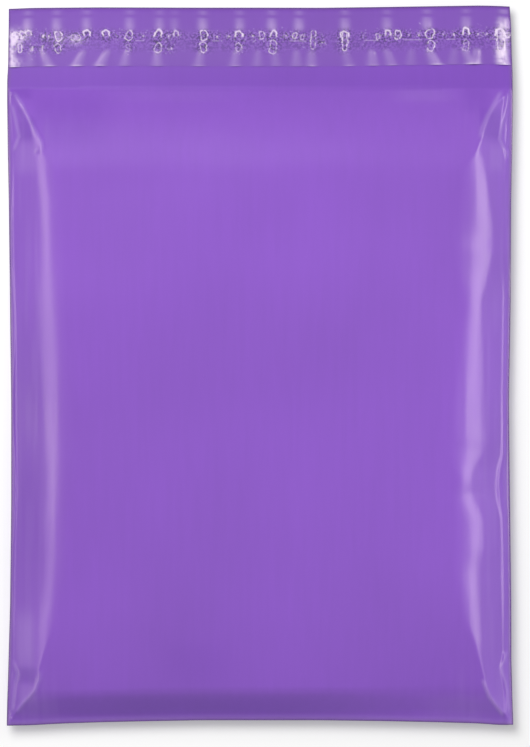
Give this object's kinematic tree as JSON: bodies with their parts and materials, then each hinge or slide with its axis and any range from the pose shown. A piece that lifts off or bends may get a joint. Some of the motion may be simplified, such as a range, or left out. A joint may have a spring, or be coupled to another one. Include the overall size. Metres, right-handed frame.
{
  "type": "poly mailer bag",
  "caption": "Sealed plastic film mailing bag with flat contents, side welds and a folded, glued top flap, lying on its back.",
  "frame": {"origin": "under the middle of the bag, on the surface that it lies on", "axes": "+X across the bag, +Y from the bottom fold to the mouth fold, +Z out of the front panel"},
  "size_m": [0.329, 0.466, 0.026],
  "materials": {
    "purple_film": "semi-gloss polyethylene film, purple"
  },
  "bodies": {
    "root": {"mailer_bag": "purple_film"}
  },
  "joints": []
}
